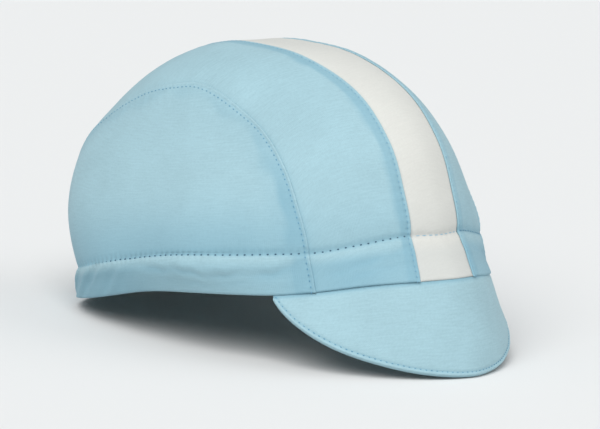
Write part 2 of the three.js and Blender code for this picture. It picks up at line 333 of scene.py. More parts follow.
# Drag folds in the hem: turns, drops, how deep, and how wide as a share of the hem
HEM_FOLDS = (
    ((-112, -105, -98, -87, -76, -67, -60, -52, -45), (0.08, 0.19, 0.31, 0.42, 0.49, 0.47, 0.41, 0.25, 0.06),
     0.55, 0.15),
    ((-100, -92, -80, -70, -60), (0.55, 0.66, 0.72, 0.70, 0.62), 0.20, 0.11),
    ((-41, -33, -25, -16, -10), (0.50, 0.43, 0.30, 0.16, 0.05), 0.45, 0.15),
    ((-40, -33, -24, -16), (0.76, 0.70, 0.56, 0.42), 0.18, 0.12),
    ((44, 53, 62, 74, 88, 100, 110), (0.10, 0.27, 0.42, 0.50, 0.43, 0.28, 0.10), 0.42, 0.15),
    ((58, 70, 82, 94), (0.66, 0.74, 0.70, 0.58), 0.18, 0.11),
    ((12, 20, 29, 40), (0.10, 0.24, 0.42, 0.54), 0.30, 0.15),
)


def hem_folds(turn, drop):
    """The drag folds: each is a swell above its line and a hollow below it, fading at its ends."""
    relief = np.zeros(np.broadcast(turn, drop).shape)
    for turns, drops, depth, width in HEM_FOLDS:
        share = (turn - turns[0]) / (turns[-1] - turns[0])
        wander = 0.035 * np.sin(0.31 * turn + 1.3) + 0.02 * np.sin(0.83 * turn)
        below = (drop - smooth_at(turns, drops, turn) - wander) / width
        ends = smoothstep(share, -0.12, 0.3) * smoothstep(1 - share, -0.12, 0.3)
        uneven = 0.85 + 0.3 * np.sin(0.47 * turn + depth * 20)
        swell, hollow = bell(below + 0.9, 1.0), bell(below - 0.45, 0.7746)
        relief += depth * ends * uneven * (swell - 0.8 * hollow)
    return relief


# Depth and size of the crown's soft dents
BROAD_DENTS, BROAD_DENT_SIZE = 0.38, 46
SMALL_DENTS, SMALL_DENT_SIZE = 0.08, 17
# Elevation up to which the hem's stitches shape the crown
HEM_REACH = 28
NEEDLE_PUFF, NEEDLE_PUFF_WIDTH = 0.17, 2.0
# Short creases that the stitches pull into the cloth beside them, above and below
CREASES_ABOVE, CREASES_BELOW, CREASE_FADE = 0.10, 0.07, 4.0
HEM_RIPPLES = 0.14
FINE_GATHERS, FINE_GATHERS_PER_TURN, FINE_GATHER_LEAN, FINE_GATHER_WANDER = 0.22, 62, 900, 100


def common_relief(turn, level, points):
    """What runs across all the panels: soft dents, the groove of the hem's stitches and the hem's folds."""
    relief = (BROAD_DENTS * waves(points, BROAD_DENT_SIZE, 11)
              + SMALL_DENTS * waves(points, SMALL_DENT_SIZE, 12))
    near = level < HEM_REACH
    distance = np.full(level.shape, 99.0)
    along = np.zeros(level.shape)
    distance[near], along[near] = distance_to(points[near], HEM_LINE)
    folded = from_front(turn)
    tuck = smooth_at(TUCK_TURNS, TUCK_SHARES, folded)
    above = level >= 0
    relief -= GROOVE_DEPTH * lerp(0.45, 1.0, tuck) * bell(distance, np.where(above, 1.5, 1.1))
    relief -= TUCK_DEPTH * tuck * bell(distance, np.where(above, 4.5, 1.8))
    aside = smoothstep(folded, 56, 80) * (1 - smoothstep(folded, 108, 125))
    relief -= DRAW_IN_DEPTH * aside * bell(distance, np.where(above, DRAW_IN_ABOVE, DRAW_IN_BELOW))
    # the cloth puffs out between the needle holes
    relief += NEEDLE_PUFF * bell(distance, NEEDLE_PUFF_WIDTH) * np.cos(2 * np.pi * along / HEM_PITCH)
    lines = np.stack([along / 1.4, distance * 0.3, 0 * along], -1)
    relief += (np.where(above, CREASES_ABOVE, CREASES_BELOW) * waves(lines, 2.2, 21)
               * np.exp(-distance / CREASE_FADE))
    drop = np.clip(-level, 0, 1)
    inside = np.sin(np.pi * drop) ** 0.7
    flat = 1 - smoothstep(folded, 45, 85) + 0.6 * smoothstep(folded, 108, 125)
    relief -= FRONT_FLATTENING * flat * np.sin(np.pi * drop ** HEM_BULGE_POWER)
    across = np.stack([along / 7.5, drop * 16, 0 * along], -1)
    relief += (HEM_RIPPLES * waves(across, 4.2, 33) + hem_folds(turn, drop)) * inside
    gathered = smoothstep(np.abs(turn), GATHERS_FROM, GATHERS_FULL)
    phase = (FINE_GATHERS_PER_TURN * np.abs(turn) - FINE_GATHER_LEAN * drop
             + FINE_GATHER_WANDER * waves(points, 26, 23))
    return relief + FINE_GATHERS * gathered * inside * np.cos(np.radians(phase))


TOPSTITCH_IN = 1.4
LAP_KNOTS = (0, 0.08, 0.22, 0.45, 0.75, 1.05, 1.4, 1.8, 2.6, 4.0, 6.0, 8.5)
LAP_HEIGHTS = (-0.10, 0.08, 0.25, 0.38, 0.34, 0.10, -0.12, 0.0, 0.20, 0.25, 0.15, 0.0)
# Doubled cloth beside a seam: its width, the softness of its inner edge and how far that edge strays
SIDE_ALLOWANCE = (6.8, 2.2, 1.2)
STRIPE_ALLOWANCE = (5.7, 0.7, 0.35)
UNDER_KNOTS = (0, 1.3, 2.2, 3.6, 6.0)
UNDER_HEIGHTS = (-0.44, -0.40, -0.18, -0.04, 0.0)


# Puckers beside a seam's stitches, and the cloth's swell between two stitches
LAP_PUCKERS, UNDER_PUCKERS, SEAM_BEATS = 0.16, 0.10, 0.11


def puckers(along, edge, size, seed):
    """Short waves across a seam, of about -1 to 1."""
    return waves(np.stack([along, 0.3 * edge, 0 * edge], -1), size, seed)


def lap_relief(level, edge, along, seed):
    """The turned edge of a panel that is sewn on top: a rolled ridge, the stitches' groove and puckers."""
    relief = smooth_at(LAP_KNOTS, LAP_HEIGHTS, edge) * lerp(1.0, 0.4, smoothstep(level, 30, 62))
    relief += SEAM_BEATS * np.cos(2 * np.pi * along / SEAM_PITCH) * bell(edge - TOPSTITCH_IN, 1.2)
    return relief + (LAP_PUCKERS * puckers(along, edge, 3.0, seed) * smoothstep(edge, 0.2, 1.6)
                     * np.exp(-edge / 7.0))


def under_relief(edge, along, seed):
    """The edge of a panel that goes under its neighbour."""
    return (smooth_at(UNDER_KNOTS, UNDER_HEIGHTS, edge)
            + UNDER_PUCKERS * puckers(along, edge, 3.4, seed) * smoothstep(edge, 1.5, 3.0)
            * np.exp(-edge / 6.0))


# Meshes from grids

CROWN_CLOTH = 1.0
HEM_CLOTH = 2.3
SEAM_CLOTH = 0.28
SEAM_THINNING = 2.2
RIM_ROUND = 1.1
RIM_FALL = 17.0


def cloth_wall(level, edge):
    folded = smoothstep(-level, -1.4, 0.02)
    return lerp(lerp(CROWN_CLOTH, HEM_CLOTH, folded), SEAM_CLOTH, bell(edge, SEAM_THINNING))


def outward(turn, level):
    """Direction out of the cloth, level at the rim so that the rim's roll is even."""
    normal = cloth_normal(turn, level)
    normal[..., 2] *= 1 - np.clip(-level, 0, 1) ** 4
    return unit(normal)


def panel_mesh(name, turn, level, relief, edge, shade, cloth_map, material):
    """A closed panel of cloth from a grid of places and the relief of its outer face."""
    base = cloth_point(turn, level)
    normal = outward(turn, level)
    wall = cloth_wall(level, edge)
    from_rim = np.clip((1 + level) * RIM_FALL, 0, RIM_ROUND)
    rounding = RIM_ROUND - np.sqrt(RIM_ROUND ** 2 - (RIM_ROUND - from_rim) ** 2)
    rounding = np.where(level < 0, rounding * wall / HEM_CLOTH, 0.0)
    outer = base + normal * (relief - rounding)[..., None]
    inner = base + normal * (relief - wall + rounding)[..., None]
    return closed_mesh(name, outer, inner, shade, cloth_map, material)


def closed_mesh(name, outer, inner, shade, cloth_map, material):
    rows, columns = outer.shape[:2]
    count = rows * columns
    points = np.concatenate([to_row_frame(outer).reshape(-1, 3), to_row_frame(inner).reshape(-1, 3)])
    # cloth that would reach below the floor is pressed flat on it
    points[:, 2] = np.maximum(points[:, 2], 0.0)
    top = np.arange(count).reshape(rows, columns)
    low = top + count
    quads = ((top[:-1, :-1], top[:-1, 1:], top[1:, 1:], top[1:, :-1]),
             (low[:-1, :-1], low[1:, :-1], low[1:, 1:], low[:-1, 1:]),
             (top[0, :-1], low[0, :-1], low[0, 1:], top[0, 1:]),
             (top[-1, :-1], top[-1, 1:], low[-1, 1:], low[-1, :-1]),
             (top[:-1, 0], top[1:, 0], low[1:, 0], low[:-1, 0]),
             (top[:-1, -1], low[:-1, -1], low[1:, -1], top[1:, -1]))
    faces = np.concatenate([np.stack([corner.ravel() for corner in quad], -1) for quad in quads])
    mesh = bpy.data.meshes.new(name)
    mesh.from_pydata(points.tolist(), [], faces.tolist())
    uv = np.tile(cloth_map.reshape(-1, 2) * MM, (2, 1))
    corner = np.empty(len(mesh.loops), dtype=np.int32)
    mesh.loops.foreach_get("vertex_index", corner)
    mesh.uv_layers.new(name="cloth").data.foreach_set("uv", uv[corner].ravel())
    # painted shade: how far each point of the outer face is darkened towards the cloth's shade colour; the
    # inner face gets none
    attribute = mesh.attributes.new("painted_shade", "FLOAT", "POINT")
    values = np.concatenate([shade.ravel(), 0 * shade.ravel()]).astype(np.float32)
    attribute.data.foreach_set("value", values)
    mesh.materials.append(material)
    tidy_mesh(mesh)
    return placed(name, mesh)


def placed(name, data):
    """A new object in the scene from a mesh, a lamp or a camera."""
    piece = bpy.data.objects.new(name, data)
    bpy.context.scene.collection.objects.link(piece)
    return piece


MERGE_DISTANCE = 0.004 * MM


def tidy_mesh(mesh):
    """Merges coincident points, drops faces without area and points the faces outwards."""
    work = bmesh.new()
    work.from_mesh(mesh)
    bmesh.ops.remove_doubles(work, verts=work.verts, dist=MERGE_DISTANCE)
    bmesh.ops.dissolve_degenerate(work, edges=work.edges, dist=MERGE_DISTANCE / 2)
    bmesh.ops.recalc_face_normals(work, faces=work.faces)
    if work.calc_volume(signed=True) < 0:
        bmesh.ops.reverse_faces(work, faces=work.faces)
    for face in work.faces:
        face.smooth = True
    work.to_mesh(mesh)
    work.free()


# Spacing of the grids: fine where an edge or a fold needs it

EDGE_STEPS = np.array([0, 0.07, 0.18, 0.35, 0.6, 0.9, 1.2, 1.5, 1.8, 2.1, 2.4, 2.8, 3.4, 4.3, 5.6, 7.2])
HEM_DROPS = np.concatenate([np.linspace(0.035, 0.9, 22), [0.93, 0.952, 0.97, 0.984, 0.994, 1.0]])
CROWN_STEP = 0.46
# The most of a span that its fine steps take up at either end
EDGE_SHARE = 0.36


def edge_spacing(length, middle_count, start=EDGE_STEPS, end=EDGE_STEPS):
    """Shares of a span of `length` mm (an array) that are fine at both of its ends."""
    length = np.asarray(length, float)[..., None]
    at_start = start * np.minimum(1, EDGE_SHARE * length / start[-1])
    at_end = end * np.minimum(1, EDGE_SHARE * length / end[-1])
    lowest, highest = at_start[..., -1:], length - at_end[..., -1:]
    middle = lerp(lowest, highest, np.linspace(0, 1, middle_count + 2)[1:-1])
    spots = np.concatenate([at_start, middle, (length - at_end)[..., ::-1]], -1)
    return spots / np.maximum(length, 1e-6)


def strip_places(start_offset, end_offset, start_lean, end_lean, side, middle_count):
    """Places of a strip over the head between two edges given as offset(around)."""
    around = np.linspace(0, 180, int(180 / CROWN_STEP) + 1)
    width = np.abs(end_offset(around) - start_offset(around))
    share = edge_spacing(width, middle_count).T
    turn, level = over_head(around[None, :], side * lerp(start_offset(around), end_offset(around), share))
    lean = side * lerp(start_lean, end_lean, share[:, [0, -1]])
    return with_hem(turn, level, lean[:, :1], lean[:, 1:], HEM_DROPS)


UNDERLAP = 1.2


def under_seam(around):
    return seam_offset(around) + UNDERLAP


def under_stripe(around):
    return STRIPE_HALF_WIDTH + UNDERLAP + 0 * around


def edge_line(side, offset_of, lean):
    return cloth_point(*seam_path(side, offset_of, lean))


def strip_relief(side, turn, level, points):
    """Relief and seam distances of a blue strip: on top at the stripe, underneath at the side seam."""
    stripe, along_stripe = distance_to(points, edge_line(side, stripe_edge, STRIPE_FLARE_IN_HEM))
    seam, along_seam = distance_to(points, edge_line(side, under_seam, -SEAM_LEAN_IN_HEM))
    relief = common_relief(turn, level, points)
    relief += lap_relief(level, stripe, along_stripe, 51 + side) + under_relief(seam, along_seam, 61 + side)
    return relief, stripe, seam


def stripe_relief(turn, level, points):
    left, along_left = distance_to(points, edge_line(LEFT, under_stripe, STRIPE_FLARE_IN_HEM))
    right, along_right = distance_to(points, edge_line(RIGHT, under_stripe, STRIPE_FLARE_IN_HEM))
    relief = common_relief(turn, level, points)
    relief += under_relief(left, along_left, 81) + under_relief(right, along_right, 82)
    return relief, left, right


def side_relief(side, turn, level, points):
    edge, along = distance_to(points, edge_line(side, seam_offset, -SEAM_LEAN_IN_HEM))
    return common_relief(turn, level, points) + lap_relief(level, edge, along, 91 + side), edge


def strip_map(points):
    """Millimetres across the strip and along it, for the knit."""
    along = cumulative(points, 1)
    return np.stack([cumulative(points, 0), along - along[:, along.shape[1] // 2][:, None]], -1)


# The strips' cloth is cut a little off the thread
KNIT_SLANT = 0.7
STRIPE_ALLOWANCE_SHADE = {RIGHT: 1.2, LEFT: 0.5}
# Painted shade at edges, where a step, a rolled edge, a stitch groove or the cloth beside a seam falls in
# shade: how dark and how wide, in millimetres
STEP_SHADE, STEP_SOFT_SHADE = (0.25, 0.5), (0.15, 3)
ROLLED_EDGE_SHADE = (0.3, 1.2)
WHITE_EDGE_SHADE = (0.3, 0.8)
STITCH_SHADE = (0.25, 0.5)
BESIDE_ALLOWANCE_SHADE = (0.16, 5)
# How dark the band of a seam's doubled allowance is
BAND_SHADE = 0.75
STRIP_COLUMNS, STRIPE_COLUMNS = 34, 22


def shadow(distance, depth, width):
    return depth * bell(distance, width)


def crown_strip(side, name, material):
    turn, level = strip_places(stripe_edge, under_seam, STRIPE_FLARE_IN_HEM, -SEAM_LEAN_IN_HEM, side,
                               STRIP_COLUMNS)
    points = cloth_point(turn, level)
    relief, stripe, seam = strip_relief(side, turn, level, points)
    # painted shade at the side seam's step and softly beside it, at the stripe's rolled edge and in the hem,
    # with the allowance's band
    beside = shadow(seam - UNDERLAP - 0.1, *STEP_SHADE) + shadow(seam, *STEP_SOFT_SHADE)
    rolled = shadow(stripe, *ROLLED_EDGE_SHADE)
    doubled = STRIPE_ALLOWANCE_SHADE[side] * allowance_shade(stripe, points, *STRIPE_ALLOWANCE, seed=71)
    shade = np.clip(doubled + rolled + beside + hem_shade(turn, level), 0, 1)
    cloth_map = strip_map(points)
    cloth_map[..., 1] -= KNIT_SLANT * cloth_map[..., 0]
    return panel_mesh(name, turn, level, relief, np.minimum(stripe, seam), shade, cloth_map, material)


def centre_stripe(name, material):
    turn, level = strip_places(lambda around: -under_stripe(around), under_stripe,
                               -STRIPE_FLARE_IN_HEM, STRIPE_FLARE_IN_HEM, 1, STRIPE_COLUMNS)
    points = cloth_point(turn, level)
    relief, left, right = stripe_relief(turn, level, points)
    edge = np.minimum(left, right)
    # painted shade where the white goes under the blue edges, and in the hem
    shade = shadow(edge - UNDERLAP, *WHITE_EDGE_SHADE) + WHITE_HEM_SHADE * hem_shade(turn, level)
    shade = np.clip(shade, 0, 1)
    return panel_mesh(name, turn, level, relief, edge, shade, strip_map(points), material)


# How dark the doubled hem is painted, by turn from the front: partly for its doubled cloth, and partly
# painted shade where the hem faces away from the light and in its front folds
HEM_SHADE_TURNS = (0, 20, 35, 55, 80, 100, 120, 180)
HEM_SHADES = (0.7, 0.75, 0.95, 0.65, 0.5, 0.65, 1.0, 1.0)
WHITE_HEM_SHADE = 0.7
# Painted shade above the stitch line, where the cloth turns in and where the lower crown faces down from the
# light: how dark and how wide, in degrees of elevation
NEAR_STITCH_SHADE, ABOVE_HEM_SHADE = (0.45, 1.6), (0.85, 14.0)
# Painted shade below it, where the hem tucks under the stitch line: how dark and how wide, as a share of the
# hem
UNDER_STITCH_SHADE = (0.45, 0.05)
# Painted shade in the hollows of the hem's folds
FOLD_SHADE = 0.8


def hem_shade(turn, level):
    """Painted shade where the hem's stitches draw the cloth in, above them and down the lower crown, and in
    the doubled hem with its folds' hollows.
    """
    up = np.maximum(level, 0)
    folded = from_front(turn)
    aside = lerp(0.4, 1.0, smoothstep(folded, 35, 70))
    above = shadow(up, *NEAR_STITCH_SHADE) + aside * shadow(up, *ABOVE_HEM_SHADE)
    drop = np.clip(-level, 0, 1)
    deep = smooth_at(HEM_SHADE_TURNS, HEM_SHADES, folded)
    below = shadow(drop, *UNDER_STITCH_SHADE) + deep * smoothstep(drop, 0.05, 0.4)
    hollows = np.clip(-FOLD_SHADE * hem_folds(turn, drop), 0, 1)
    return np.where(level >= 0, above, below + hollows)


def allowance_shade(edge, points, width, softness, wander, seed):
    """A darker band where a seam's allowance doubles the cloth, and a line of painted shade in the groove of
    its stitches.
    """
    strays = wander * waves(points, 9, seed + 7)
    inner = smoothstep(edge, width - softness + strays, width + softness + strays)
    band = smoothstep(edge, 0.9, 2.2) * (1 - inner)
    uneven = 0.9 + 0.12 * wander * waves(points, 10, seed)
    return BAND_SHADE * band * uneven + shadow(edge - TOPSTITCH_IN, *STITCH_SHADE)


FOOT_STEPS = np.array([0, 0.5, 1.1, 1.8, 2.6, 3.6, 5.0, 7.0])
SIDE_LINES, SIDE_ROWS = 372, 34


def side_places(side):
    """Places of a side panel: lines from the seam's arch down to the stitch line, and on down the hem."""
    around = np.linspace(0, 180, SIDE_LINES)
    seam_turn, seam_level = over_head(around, seam_offset(around))
    seam_level[0] = seam_level[-1] = 0.0
    foot_turn = lerp(seam_turn[0], seam_turn[-1], around / 180)
    share = np.linspace(0, 1, 9)[:, None]
    trial = cloth_point(lerp(seam_turn, foot_turn, share), lerp(seam_level, 0 * seam_level, share))
    length = np.sum(np.linalg.norm(np.diff(trial, axis=0), axis=-1), axis=0)
    share = edge_spacing(length, SIDE_ROWS, end=FOOT_STEPS).T
    turn = lerp(seam_turn, foot_turn, share)
    level = lerp(seam_level, 0 * seam_level, share)
    drops = HEM_DROPS[:, None]
    lean = SEAM_LEAN_IN_HEM * (1 - 2 * around / 180)
    hem_turn = foot_turn - lean * drops
    hem = np.broadcast_to(-drops, hem_turn.shape)
    return side * np.concatenate([turn, hem_turn], 0), np.concatenate([level, hem], 0)


CROWN_SPAN = 88.0


def side_panel(side, name, material):
    turn, level = side_places(side)
    points = cloth_point(turn, level)
    relief, edge = side_relief(side, turn, level, points)
    # the allowance's band with painted shade beside it, darker towards the bottom of the panel, then the
    # hem's painted shade
    lower = 0.35 + 0.65 * (1 - smoothstep(level, 18, 52))
    shade = lower * allowance_shade(edge, points, *SIDE_ALLOWANCE, seed=72)
    shade += lower * shadow(edge - 8, *BESIDE_ALLOWANCE_SHADE)
    shade = np.clip(shade + hem_shade(turn, level), 0, 1)
    height = np.where(level < 0, RIM_FALL * level, CROWN_SPAN * np.radians(level))
    cloth_map = np.stack([points[..., 1], height], -1)
    return panel_mesh(name, turn, level, relief, edge, shade, cloth_map, material)


# Peak

def peak_taper(across):
    return (1 - np.abs(across) ** PEAK_OUTLINE_INNER_POWER) ** PEAK_OUTLINE_OUTER_POWER


def peak_point(across, out):
    turn = PEAK_HALF_SPREAD * across
    rim = plan_radius(turn, RIM_FRONT, RIM_BACK, RIM_SIDE, 0.0)
    root = point_at(turn, rim - PEAK_ROOT_INSET, hem_level(turn, HEM_RIM) - PEAK_GAP)
    droop = lerp(PEAK_DROOP_MIDDLE, PEAK_DROOP_SIDE, across * across)
    slope = np.radians(droop - PEAK_CURL * (1 - out))
    ahead = point_at(PEAK_FAN * turn, np.cos(slope), -np.sin(slope))
    return root + ahead * (PEAK_LENGTH * peak_taper(across) * out)[..., None]


PEAK_LAP_KNOTS = (0, 0.3, 0.8, 1.3, 1.7, 2.0, 2.35, 3.1, 6, 14)
PEAK_LAP_HEIGHTS = (0.0, 0.25, 0.42, 0.32, 0.04, -0.14, 0.0, 0.18, 0.22, 0.1)
PEAK_STITCH_IN = 2.0
PEAK_BEATS, PEAK_DENTS, PEAK_PUCKERS, PEAK_ROOT_DIVE = 0.08, 0.22, 0.09, 0.55
PEAK_EDGE_FLAT = 0.08
# The peak's root runs up between the hem's two layers, and is thinner there by this much on each face
PEAK_TAIL = 3.0
PEAK_TAIL_THINNING = 0.9
PEAK_TAIL_STEPS = np.array([1.0, 0.66, 0.33, 0.12])
PEAK_ROOT_STEPS = np.array([0, 0.25, 0.55, 0.95, 1.5, 2.4])
PEAK_LINES, PEAK_ROWS = 361, 22
# Painted shade at the peak's outer edge, in the groove of its stitches and at its root under the hem: how
# dark and how wide
PEAK_EDGE_SHADE, PEAK_STITCH_SHADE, PEAK_ROOT_SHADE = (0.3, 0.6), (0.4, 0.6), (0.8, 1.1)
# The topstitches stop this share of the way out to each end of the peak
PEAK_ROW_END = 0.975


def peak_normal(across, out):
    step = 0.003
    sideways = peak_point(across + step, out) - peak_point(across - step, out)
    inwards = peak_point(across, out + step) - peak_point(across, out - step)
    return unit(np.cross(inwards, sideways))


def peak_edge():
    """The peak's outer edge from its right end to its left end."""
    across = PEAK_BLUNT_END * np.sin(np.linspace(-np.pi / 2, np.pi / 2, 321))
    return peak_point(across, 1.0 + 0 * across)


def peak_relief(across, out, points):
    edge, along = distance_to(points, peak_edge())
    relief = smooth_at(PEAK_LAP_KNOTS, PEAK_LAP_HEIGHTS, edge)
    relief += PEAK_BEATS * np.cos(2 * np.pi * along / SEAM_PITCH) * bell(edge - PEAK_STITCH_IN, 1.0)
    relief += PEAK_DENTS * waves(points, 34, 101) * smoothstep(edge, 1, 10)
    relief += PEAK_PUCKERS * puckers(along, edge, 3.2, 102) * np.exp(-edge / 4)
    # the root dives under the hem's lower edge
    relief -= PEAK_ROOT_DIVE * bell(PEAK_LENGTH * peak_taper(across) * out, 1.2)
    return relief, edge


def peak_grid():
    """Rows of the peak: a tail that goes up between the hem's layers, then on to the outer edge."""
    across = PEAK_BLUNT_END * np.sin(np.linspace(-np.pi / 2, np.pi / 2, PEAK_LINES))
    length = PEAK_LENGTH * peak_taper(across)
    out = edge_spacing(length, PEAK_ROWS, start=PEAK_ROOT_STEPS).T
    tail = -PEAK_TAIL * PEAK_TAIL_STEPS[:, None] / length
    tails = np.concatenate([tail * length, 0 * out])
    return np.broadcast_to(across, tails.shape), np.concatenate([tail, out]), tails


def peak_cloth(name, material):
    across, out, tail = peak_grid()
    points = peak_point(across, np.maximum(out, 0))
    points[..., 2] -= tail
    normal = peak_normal(across, np.maximum(out, 0))
    relief, edge = peak_relief(across, np.maximum(out, 0), points)
    roundness = PEAK_WALL / 2 - PEAK_EDGE_FLAT
    near = np.clip(edge, 0, roundness)
    rounding = roundness - np.sqrt(roundness ** 2 - (roundness - near) ** 2)
    sunk = PEAK_TAIL_THINNING * smoothstep(-tail, 0.0, 1.2)
    upper = points + normal * (relief - np.maximum(rounding, sunk))[..., None]
    lower = points + normal * (0.4 * relief - PEAK_WALL + np.maximum(rounding, sunk))[..., None]
    # painted shade at the edge, in the stitches' groove and where the root goes under the hem
    shade = shadow(edge - 0.1, *PEAK_EDGE_SHADE) + shadow(edge - PEAK_STITCH_IN, *PEAK_STITCH_SHADE)
    shade += shadow(PEAK_LENGTH * peak_taper(across) * np.maximum(out, 0), *PEAK_ROOT_SHADE)
    cloth_map = np.stack([cumulative(points, 1), cumulative(points, 0)], -1)
    return closed_mesh(name, upper, lower, np.clip(shade, 0, 1), cloth_map, material)


def peak_row(inset):
    """The line of the peak's topstitches, an even distance inside its edge."""
    across = np.linspace(-PEAK_ROW_END, PEAK_ROW_END, 400)
    out = 1 - inset / (PEAK_LENGTH * peak_taper(across))
    for _ in range(12):
        edge = distance_to(peak_point(across, out), peak_edge())[0]
        out = np.clip(out + (edge - inset) / (PEAK_LENGTH * peak_taper(across)), 0.02, 0.999)
    points = peak_point(across, out)
    normal = peak_normal(across, out)
    relief = peak_relief(across, out, points)[0]
    return points + normal * relief[..., None], normal


# Stitches: rows of thread along lines on the cloth

def row_on(relief_of, turn, level):
    """Points on the relief of a panel and the directions out of it there."""
    points = cloth_point(turn, level)
    relief = relief_of(turn, level, points)[0]
    normal = outward(turn, level)
    return points + normal * relief[..., None], normal


# Where the hem is gathered, its stitches sink into the cloth
GATHERED_SINK, GATHERED_TURNS = 0.35, (112, 126)


def hem_row(relief_of, turn_from, turn_to, margin):
    """The hem's stitch line between two turns, from needle hole to needle hole."""
    holes = (np.arange(round(HEM_LINE_LENGTHS[-1] / HEM_PITCH)) + 0.5) * HEM_PITCH
    low = np.interp(turn_from, HEM_LINE_TURNS, HEM_LINE_LENGTHS) + margin
    high = np.interp(turn_to, HEM_LINE_TURNS, HEM_LINE_LENGTHS) - margin
    holes = holes[(holes > low) & (holes < high)]
    fine = np.arange(holes[0], holes[-1] + 0.01, HEM_PITCH / 4)
    turn = np.interp(fine, HEM_LINE_LENGTHS, HEM_LINE_TURNS)
    points, normal = row_on(relief_of, turn, 0 * turn)
    sunk = GATHERED_SINK * smoothstep(np.abs(turn), *GATHERED_TURNS)
    return points - normal * sunk[..., None], normal


def seam_row(relief_of, side, offset_of, lean):
    return row_on(relief_of, *seam_path(side, offset_of, lean, 0.4))


# Stitches stay this much above the floor, in metres
STITCH_CLEARANCE = 0.0004


def line_mesh(name, rows):
    """One mesh of open lines; each point knows which way is out."""
    points = np.concatenate([to_row_frame(row[0]) for row in rows])
    points[:, 2] = np.maximum(points[:, 2], STITCH_CLEARANCE)
    outs = np.concatenate([turn_to_row_frame(row[1]) for row in rows])
    edges, first = [], 0
    for row in rows:
        last = first + len(row[0]) - 1
        edges += [(i, i + 1) for i in range(first, last)]
        first = last + 1
    mesh = bpy.data.meshes.new(name)
    mesh.from_pydata(points.tolist(), edges, [])
    out = mesh.attributes.new("out", "FLOAT_VECTOR", "POINT")
    out.data.foreach_set("vector", outs.astype(np.float32).ravel())
    return placed(name, mesh)


def add_socket(tree, name, kind, default=None, in_out="INPUT"):
    socket = tree.interface.new_socket(name=name, in_out=in_out, socket_type="NodeSocket" + kind)
    if default is not None:
        socket.default_value = default


def add_node(tree, kind, inputs=None, **settings):
    """A node with its settings; each input is linked to a socket or set to a value."""
    node = tree.nodes.new(kind)
    for name, value in settings.items():
        setattr(node, name, value)
    for key, value in (inputs or {}).items():
        if isinstance(value, bpy.types.NodeSocket):
            tree.links.new(value, node.inputs[key])
        else:
            node.inputs[key].default_value = value
    return node


def maths(tree, operation, *values):
    return add_node(tree, "ShaderNodeMath", dict(enumerate(values)), operation=operation).outputs[0]


def stitch_tree():
    """Geometry nodes: threads laid along lines, one to each pitch."""
    tree = bpy.data.node_groups.new("cap_stitch_rows", "GeometryNodeTree")
    for name, kind, default in (
            ("Lines", "Geometry", None), ("Pitch", "Float", 0.003), ("Length", "Float", 0.002),
            ("Width", "Float", 0.0005), ("Height", "Float", 0.0004), ("Sink", "Float", 0.0),
            ("Wander", "Float", 0.00005), ("Seed", "Int", 1), ("Material", "Material", None)):
        add_socket(tree, name, kind, default)
    add_socket(tree, "Stitches", "Geometry", in_out="OUTPUT")
    given = add_node(tree, "NodeGroupInput").outputs
    curve = add_node(tree, "GeometryNodeMeshToCurve", {"Mesh": given["Lines"]})
    spaced = add_node(tree, "GeometryNodeResampleCurve",
                      {"Curve": curve.outputs[0], "Length": given["Pitch"]}, mode="LENGTH")
    out = add_node(tree, "GeometryNodeInputNamedAttribute", {"Name": "out"},
                   data_type="FLOAT_VECTOR").outputs["Attribute"]
    sink = maths(tree, "MULTIPLY", given["Sink"], -1.0)
    inward = add_node(tree, "ShaderNodeVectorMath", {0: out, "Scale": sink}, operation="SCALE")
    stray = add_node(tree, "FunctionNodeRandomValue",
                     {0: (-1.0, -1.0, -1.0), 1: (1.0, 1.0, 1.0), "Seed": given["Seed"]},
                     data_type="FLOAT_VECTOR")
    strayed = add_node(tree, "ShaderNodeVectorMath", {0: stray.outputs[0], "Scale": given["Wander"]},
                       operation="SCALE")
    offset = add_node(tree, "ShaderNodeVectorMath", {0: inward.outputs[0], 1: strayed.outputs[0]},
                      operation="ADD")
    moved = add_node(tree, "GeometryNodeSetPosition",
                     {"Geometry": spaced.outputs[0], "Offset": offset.outputs[0]})
    tangent = add_node(tree, "GeometryNodeInputTangent")
    lay = add_node(tree, "FunctionNodeAlignRotationToVector", {"Vector": tangent.outputs[0]}, axis="X")
    stand = add_node(tree, "FunctionNodeAlignRotationToVector",
                     {"Rotation": lay.outputs[0], "Vector": out}, axis="Z", pivot_axis="X")
    bead = add_node(tree, "GeometryNodeMeshUVSphere", {"Segments": 8, "Rings": 6, "Radius": 0.5})
    size = add_node(tree, "ShaderNodeCombineXYZ",
                    {"X": given["Length"], "Y": given["Width"], "Z": given["Height"]})
    laid = add_node(tree, "GeometryNodeInstanceOnPoints",
                    {"Points": moved.outputs[0], "Instance": bead.outputs["Mesh"],
                     "Rotation": stand.outputs[0], "Scale": size.outputs[0]})
    real = add_node(tree, "GeometryNodeRealizeInstances", {"Geometry": laid.outputs[0]})
    smooth = add_node(tree, "GeometryNodeSetShadeSmooth", {"Geometry": real.outputs[0]})
    painted = add_node(tree, "GeometryNodeSetMaterial",
                       {"Geometry": smooth.outputs[0], "Material": given["Material"]})
    add_node(tree, "NodeGroupOutput", {"Stitches": painted.outputs[0]})
    return tree


